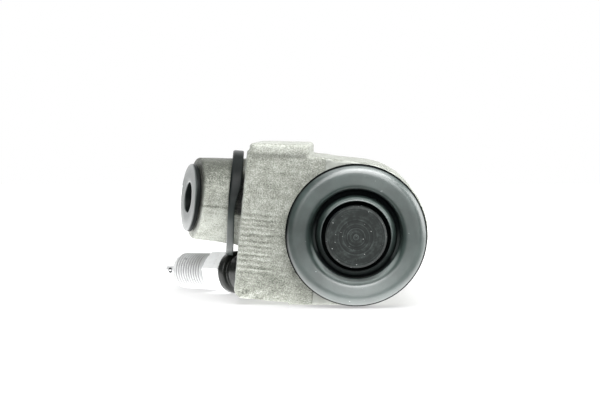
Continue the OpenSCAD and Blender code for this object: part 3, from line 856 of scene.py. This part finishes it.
def half_spring(side):
    """Points and faces of one half of the coil spring: a round wire swept along a helix whose rise is
    travel (p - 1/2 - c sin(2 pi p) / 2 pi) for p from 0 to 1, so its turns close up toward the ends."""
    p = np.linspace(0, 0.5, 85) + (0.5 if side > 0 else 0)
    k = np.arange(10) * (2 * math.pi / 10)
    turn = 2 * math.pi * SPRING_TURNS * p[:, None]
    close = SPRING_CLOSE * np.sin(2 * math.pi * p) / (2 * math.pi)
    rise = SPRING_TRAVEL * (p - 0.5 - close)[:, None]
    reach, climb = SPRING_R + WIRE_R * np.cos(k), rise + WIRE_R * np.sin(k)
    points = np.stack([BORE_X + reach * np.cos(turn), climb, -reach * np.sin(turn)], -1)
    ends = np.stack([points[0].mean(0), points[-1].mean(0)])
    points = np.concatenate([ends[None, :1].repeat(10, 1), points, ends[None, 1:].repeat(10, 1)])
    return points.reshape(-1, 3), grid_faces(len(points), 10)


class CYL_OT_pistons(bpy.types.Operator):
    """Finish the pistons and the pieces inside the bore"""

    bl_idname = "cyl.pistons"
    bl_label = "Pistons and inner pieces"

    def execute(self, context):
        alloy = turned_alloy()
        cup = rubber("cup_rubber", (0.02, 0.02, 0.022), 0.5, 0.4)
        steel = plated_steel("spring_steel", (0.55, 0.56, 0.57), 0.34)
        for end in ("near", "far"):
            paint(f"{end}_piston", alloy)
            paint(f"{end}_cup", cup)
            paint(f"{end}_expander", steel)
        for name, side in (("near", -1), ("far", 1)):
            obj = add_mesh(f"{name}_half_spring", *half_spring(side), steel)
            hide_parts("piston_spring")
            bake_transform(obj)
        return {"FINISHED"}


def boss_place(points):
    """Points made along +Z, set on the boss axis."""
    c, s = math.cos(BOSS_SLANT), math.sin(BOSS_SLANT)
    across, up, t = points[:, 0], points[:, 1], points[:, 2]
    return np.stack([-t * c - across * s, -t * s + across * c, up + BOSS_RISE], -1)


class CYL_OT_plug(bpy.types.Operator):
    """Build the flanged transport plug with soft edges"""

    bl_idname = "cyl.plug"
    bl_label = "Inlet plug"

    def execute(self, context):
        low, back = BOSS_LEN - PLUG_LEN, BOSS_LEN + PLUG_STAND
        front, floor = back + FLANGE_T, low + FLANGE_T
        outline = round_outline([
            (0.01, low, 0), (PLUG_R, low, 0.3), (PLUG_R, back, 0.2), (FLANGE_R, back, 0.35),
            (FLANGE_R, front, 0.35), (PLUG_HOLE_R + 0.1, front, 0.3), (PLUG_HOLE_R, floor, 0.3),
            (0.01, floor, 0),
        ])
        ring = revolve(outline, context.scene.cylinder.turn_steps)
        faces = grid_faces(len(outline), ring.shape[1])
        skin = bloomed_rubber_with_painted_light("plug_plastic")
        obj = add_mesh("plug_skin", boss_place(ring.reshape(-1, 3)), faces, skin, "plug")
        r, h = outline.T
        face = fade_in(h, front - 0.3, front - 0.1) * fade_in(r, PLUG_HOLE_R, PLUG_HOLE_R + 0.2)
        add_attribute(obj, "bloom_and_painted_light", np.repeat(0.05 + 0.6 * face, ring.shape[1]))
        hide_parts("inlet_plug")
        return {"FINISHED"}


class CYL_OT_ring(bpy.types.Operator):
    """Build the seal ring round the boss, a band that twists and narrows below the middle"""

    bl_idname = "cyl.ring"
    bl_label = "Boss seal ring"

    def execute(self, context):
        turn = np.linspace(0, 2 * math.pi, 180, endpoint=False)
        lift = np.sin(turn)
        left = np.interp(lift, [-1, -0.5, -0.1, 0.1, 0.35, 1], [0.75, 0.95, 1.15, 1.2, 1.15, 0.9])
        right = np.interp(
            lift, [-1, -0.5, -0.1, 0.1, 0.25, 0.4, 1], [-1.2, -0.9, -0.6, -1.0, -1.6, -1.95, -1.95]
        )
        section = round_outline([(-1, -1, 0.5), (1, -1, 0.3), (1, 1, 0.5), (-1, 1, 0.3)], 4)
        r = RING_R + RING_HALF_WALL * section[:, :1] + 0 * turn
        h = (left + right) / 2 + (left - right) / 2 * section[:, 1:2]
        ring = np.stack([r * np.sin(turn), r * np.cos(turn), h], -1)
        place = np.array(
            Matrix.Translation((RING_X, RING_X * math.tan(BOSS_SLANT), BOSS_RISE - RING_DROP))
            @ Matrix.Rotation(RING_TURN, 4, "Z")
            @ Matrix.Rotation(RING_LEAN - math.pi / 2, 4, "Y")
        )
        points = ring.reshape(-1, 3) @ place[:3, :3].T + place[:3, 3]
        faces = grid_faces(len(section), len(turn), close_rows=True)
        skin = bloomed_rubber_with_painted_light("ring_rubber")
        obj = add_mesh("ring_skin", points, faces, skin, "cylinder")
        # Paler on the lower half than on top, painted light from below.
        add_attribute(obj, "bloom_and_painted_light", (np.interp(lift, [-0.3, 0.2], [0.42, 0.07]) + 0 * r).ravel())
        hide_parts("boss_seal_ring")
        return {"FINISHED"}


def screw_place(points):
    """Points made along +Z from the seat tip, laid on the table with the cap in the recess."""
    place = (
        tilt_matrix()
        @ Matrix.Translation(Vector((-BORE_X - SCREW_OUT, SCREW_SIDE, CAP_RIM_R - BARREL_R)) * MM)
        @ Matrix.Rotation(-SCREW_TURN, 4, "Z")
        @ Matrix.Rotation(math.pi / 2 - SCREW_DIP, 4, "Y")
        @ Matrix.Translation((0, 0, -HEX_END * MM))
    )
    m = np.array(place)
    return (points * MM @ m[:3, :3].T + m[:3, 3]) / MM


def screw_surface(pitch, steps):
    """Points of the screw, ring by ring, with the darkening of each, painted shade in the thread roots over
    an even
    darkening off the hexagon: a turned body, less a thread whose depth at height h and turn a follows the
    phase h / pitch - a / 2 pi, and a hexagon with chamfered ends."""
    turn = np.arange(steps) * (2 * math.pi / steps) + HEX_TURN
    neck_at, hex_foot = THREAD_END + 0.35, HEX_AT - 0.02
    h = np.concatenate([
        [0.0, 0.0, 0.3, SEAT_END], np.linspace(SEAT_END, THREAD_AT - 0.9, 8)[1:],
        np.arange(THREAD_AT - 0.8, THREAD_END, 0.06), [THREAD_END, neck_at, hex_foot],
        np.linspace(HEX_AT, HEX_END, 25), [HEX_END, HEX_END + NIPPLE_LEN],
    ])
    stations = [0, 0.3, SEAT_END, THREAD_AT - 0.9, THREAD_AT, THREAD_END, neck_at, hex_foot]
    plain = np.interp(h, stations, [0.95, SEAT_R, SEAT_R, 4.3, THREAD_R, THREAD_R, NECK_R, NECK_R])
    plain[0] = 0.01
    plain[-2:] = NIPPLE_R
    phase = (h[:, None] / pitch - turn / (2 * math.pi)) % 1.0
    tooth = np.clip(np.abs(phase - 0.5) * 2.6 - 0.25, 0, 1)
    depth = THREAD_DEPTH * fade_in(h, THREAD_AT - 0.7, THREAD_AT - 0.2)
    groove = (depth * fade_in(h, THREAD_END, THREAD_END - 0.3))[:, None] * tooth
    flat = (turn - HEX_TURN) % (math.pi / 3) - math.pi / 6
    end = np.minimum(h - HEX_AT, HEX_END - h)[:, None]
    hexagon = np.minimum(HEX_HALF / np.cos(flat), HEX_HALF + 0.05 + 1.9 * np.maximum(end, 0))
    on_hex = ((h >= HEX_AT) & (h <= HEX_END))[:, None]
    on_hex[np.argmax(h >= HEX_END) + 1] = False
    radius = np.where(on_hex, hexagon, plain[:, None] - groove)
    points = np.stack([radius * np.cos(turn), radius * np.sin(turn), h[:, None] + 0 * turn], -1)
    # Painted shade: darker in the thread roots, on top of an even darkening everywhere off the hexagon.
    return points, np.where(on_hex, 0, 0.46 + 0.85 * groove)


class CYL_OT_screw(bpy.types.Operator):
    """Build the bleed screw with its helical thread and chamfered hexagon, and black cups of painted shadow
    where its cross hole is
    """

    bl_idname = "cyl.screw"
    bl_label = "Bleed screw"

    def execute(self, context):
        points, valley = screw_surface(context.scene.cylinder.thread_pitch, 144)
        faces = grid_faces(*points.shape[:2])
        skin = plated_steel("zinc_steel", (0.96, 0.97, 0.975), 0.32)
        points = screw_place(points.reshape(-1, 3))
        obj = add_mesh("screw_skin", points, faces, skin, "cylinder", math.radians(30))
        add_attribute(obj, "valley", valley.ravel())
        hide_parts("bleed_screw")
        # No hole is cut: each end of the cross hole is a shallow black cup on the seat, a painted shadow.
        dark = painted_hole_shadow()
        shadow_cup = [(0.01, 1.24), (0.45, 1.26), (0.68, 1.31), (0.75, 1.27), (0.75, 0.4)]
        spot = revolve(shadow_cup, 32)
        across, along, out = spot.reshape(-1, 3).T
        for letter, side in (("a", -1), ("b", 1)):
            points = screw_place(np.stack([across, side * out, along + CROSS_HOLE_AT], -1))
            faces = grid_faces(*spot.shape[:2], flip=side < 0)
            add_mesh(f"cross_hole_shadow_{letter}", points, faces, dark, "cylinder")
        return {"FINISHED"}


class CYL_OT_cap(bpy.types.Operator):
    """Build the rubber cap on the nipple of the bleed screw"""

    bl_idname = "cyl.cap"
    bl_label = "Bleed cap"

    def execute(self, context):
        e, top, floor = HEX_END, HEX_END + CAP_LEN, HEX_END + NIPPLE_LEN + 0.2
        outline = round_outline([
            (CAP_BORE_R, e, 0.2), (CAP_RIM_R, e, 0.6), (CAP_RIM_R, e + 2.2, 0.6),
            (CAP_NECK_R, e + 2.4, 0.4), (CAP_NECK_R, e + 3.3, 0.4), (CAP_R, e + 3.6, 0.5),
            (CAP_R, top, 2.5), (0.01, top, 0), (0.01, floor, 0), (CAP_BORE_R, floor, 0.2),
        ], 7)
        ring = revolve(outline, context.scene.cylinder.turn_steps)
        faces = grid_faces(len(outline), ring.shape[1], close_rows=True)
        skin = rubber("cap_rubber", (0.006, 0.007, 0.006), 0.30, 0.4)
        obj = add_mesh("cap_skin", screw_place(ring.reshape(-1, 3)), faces, skin, "cylinder")
        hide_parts("bleed_cap")
        return {"FINISHED"}


def add_table():
    """Flat table under the barrel and the foot."""
    side, back = TABLE_SIDE, TABLE_BACK
    tilt = tilt_matrix()
    plan = ((-side, -side), (side, -side), (side, back), (-side, back))
    corners = [tilt @ Vector((x, y, -BARREL_R * MM)) for x, y in plan]
    mesh = bpy.data.meshes.new("table")
    mesh.from_pydata(corners, [], [(0, 1, 2, 3)])
    mesh.materials.append(table_white())
    table = bpy.data.objects.new("table", mesh)
    bpy.context.scene.collection.objects.link(table)
    return table


def add_light(name, place, target, size, power):
    """Rectangular area light in the table frame, in metres."""
    lamp = bpy.data.lights.new(name, "AREA")
    lamp.shape = "RECTANGLE"
    lamp.size, lamp.size_y = size
    lamp.energy = power
    obj = bpy.data.objects.new(name, lamp)
    bpy.context.scene.collection.objects.link(obj)
    aim = (Vector(target) - Vector(place)).to_track_quat("-Z", "Y").to_matrix().to_4x4()
    obj.matrix_world = tilt_matrix() @ Matrix.Translation(place) @ aim
    return obj


def white_room():
    """World that the camera sees as white and that lights the part only a little."""
    world = bpy.data.worlds.new("white_room")
    world.use_nodes = True
    tree = world.node_tree
    tree.nodes.clear()
    out = tree.nodes.new("ShaderNodeOutputWorld")
    mix = tree.nodes.new("ShaderNodeMixShader")
    path = tree.nodes.new("ShaderNodeLightPath")
    tree.links.new(path.outputs["Is Camera Ray"], mix.inputs[0])
    for slot, colour, strength in ((1, (0.95, 0.98, 1.0, 1), 0.10), (2, (1, 1, 1, 1), 1.0)):
        shade = tree.nodes.new("ShaderNodeBackground")
        shade.inputs["Color"].default_value = colour
        shade.inputs["Strength"].default_value = strength
        tree.links.new(shade.outputs[0], mix.inputs[slot])
    tree.links.new(mix.outputs[0], out.inputs["Surface"])
    return world


def add_camera():
    """Camera in front of the near boot, a little above the bore axis."""
    lens = bpy.data.cameras.new("camera")
    lens.sensor_width = 36.0
    lens.lens = 100.0
    lens.clip_start = 0.01
    camera = bpy.data.objects.new("camera", lens)
    bpy.context.scene.collection.objects.link(camera)
    aim = Matrix.Rotation(CAMERA_YAW, 4, "Z") @ Matrix.Rotation(math.pi / 2 - CAMERA_PITCH, 4, "X")
    camera.matrix_world = tilt_matrix() @ Matrix.Translation(CAMERA_AT) @ aim
    return camera


class CYL_OT_stage(bpy.types.Operator):
    """Set up the table, the lights, the white surroundings and the camera"""

    bl_idname = "cyl.stage"
    bl_label = "Stage"

    def execute(self, context):
        scene = context.scene
        table = add_table()
        lights = [add_light(*light) for light in LIGHTS]
        scene.world = white_room()
        scene.view_settings.view_transform = "Standard"
        scene.view_settings.look = "None"
        scene.view_settings.exposure = 0.0
        scene.view_settings.gamma = 1.0
        camera = add_camera()
        scene.camera = camera
        return {"FINISHED"}


class CYL_PT_panel(bpy.types.Panel):
    """Sidebar panel with one button for each group of pieces"""

    bl_label = "Wheel cylinder"
    bl_idname = "CYL_PT_panel"
    bl_space_type = "VIEW_3D"
    bl_region_type = "UI"
    bl_category = "Cylinder"

    def draw(self, context):
        settings = context.scene.cylinder
        for name in ("net_step", "turn_steps", "thread_pitch"):
            self.layout.prop(settings, name)
        for operator in OPERATORS:
            self.layout.operator(operator.bl_idname)


OPERATORS = (
    CYL_OT_casting, CYL_OT_boots, CYL_OT_pistons, CYL_OT_plug, CYL_OT_ring,
    CYL_OT_screw, CYL_OT_cap, CYL_OT_stage,
)


def register():
    """Adds the settings, operators and panel to Blender."""
    for item in (CylinderSettings, *OPERATORS, CYL_PT_panel):
        bpy.utils.register_class(item)
    bpy.types.Scene.cylinder = bpy.props.PointerProperty(type=CylinderSettings)


def unregister():
    """Takes them out again."""
    del bpy.types.Scene.cylinder
    for item in reversed((CylinderSettings, *OPERATORS, CYL_PT_panel)):
        bpy.utils.unregister_class(item)


def main():
    """Builds every piece in order."""
    register()
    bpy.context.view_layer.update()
    bpy.ops.cyl.casting()
    bpy.ops.cyl.boots()
    bpy.ops.cyl.pistons()
    bpy.ops.cyl.plug()
    bpy.ops.cyl.ring()
    bpy.ops.cyl.screw()
    bpy.ops.cyl.cap()
    bpy.ops.cyl.stage()


if __name__ == "__main__":
    main()
